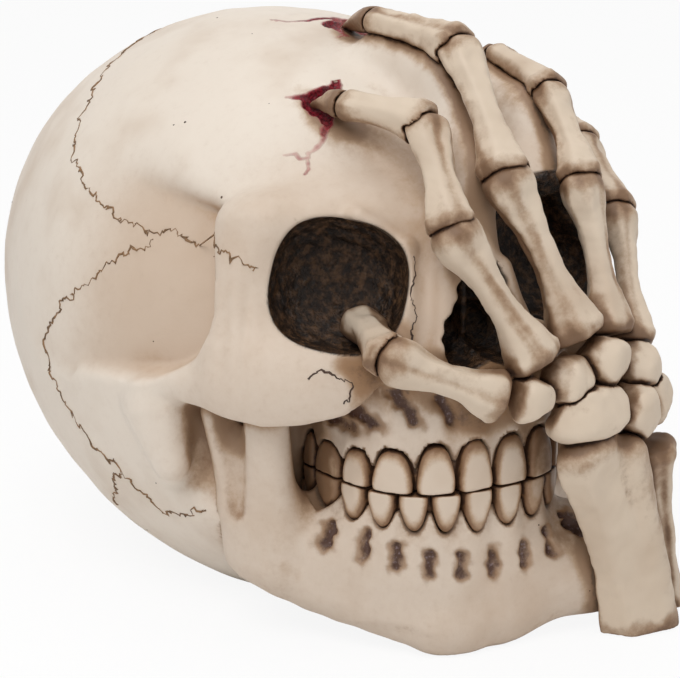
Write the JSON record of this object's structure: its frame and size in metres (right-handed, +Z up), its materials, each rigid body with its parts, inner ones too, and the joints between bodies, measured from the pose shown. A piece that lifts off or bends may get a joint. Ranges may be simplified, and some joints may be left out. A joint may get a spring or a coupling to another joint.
{
  "type": "halloween skull decoration",
  "caption": "Free-standing cast resin skull ornament gripped from the front by a skeletal hand whose fingertips break into the forehead.",
  "frame": {"origin": "on the standing surface, straight below the middle of the cranial vault", "axes": "+Z up from the standing surface, the face looks along -Y, the skull's own left side is +X"},
  "size_m": [0.1424, 0.2059, 0.1472],
  "materials": {
    "skull_resin": "hand-painted aged ivory with a brown wash, satin",
    "tooth_resin": "cream paint with dark brown outlines, satin",
    "bone_resin": "tan-washed ivory, satin"
  },
  "bodies": {
    "root": {"capitate": "bone_resin", "cranium": "skull_resin", "hamate": "bone_resin", "index_distal": "bone_resin", "index_metacarpal": "bone_resin", "index_middle": "bone_resin", "index_proximal": "bone_resin", "little_distal": "bone_resin", "little_metacarpal": "bone_resin", "little_middle": "bone_resin", "little_proximal": "bone_resin", "lower_teeth": "tooth_resin", "lunate": "bone_resin", "mandible": "skull_resin", "middle_distal": "bone_resin", "middle_metacarpal": "bone_resin", "middle_middle": "bone_resin", "middle_proximal": "bone_resin", "radius": "bone_resin", "ring_distal": "bone_resin", "ring_metacarpal": "bone_resin", "ring_middle": "bone_resin", "ring_proximal": "bone_resin", "scaphoid": "bone_resin", "thumb_metacarpal": "bone_resin", "thumb_phalanx": "bone_resin", "trapezium": "bone_resin", "trapezoid": "bone_resin", "triquetrum": "bone_resin", "ulna": "bone_resin", "upper_teeth": "tooth_resin"}
  },
  "joints": []
}
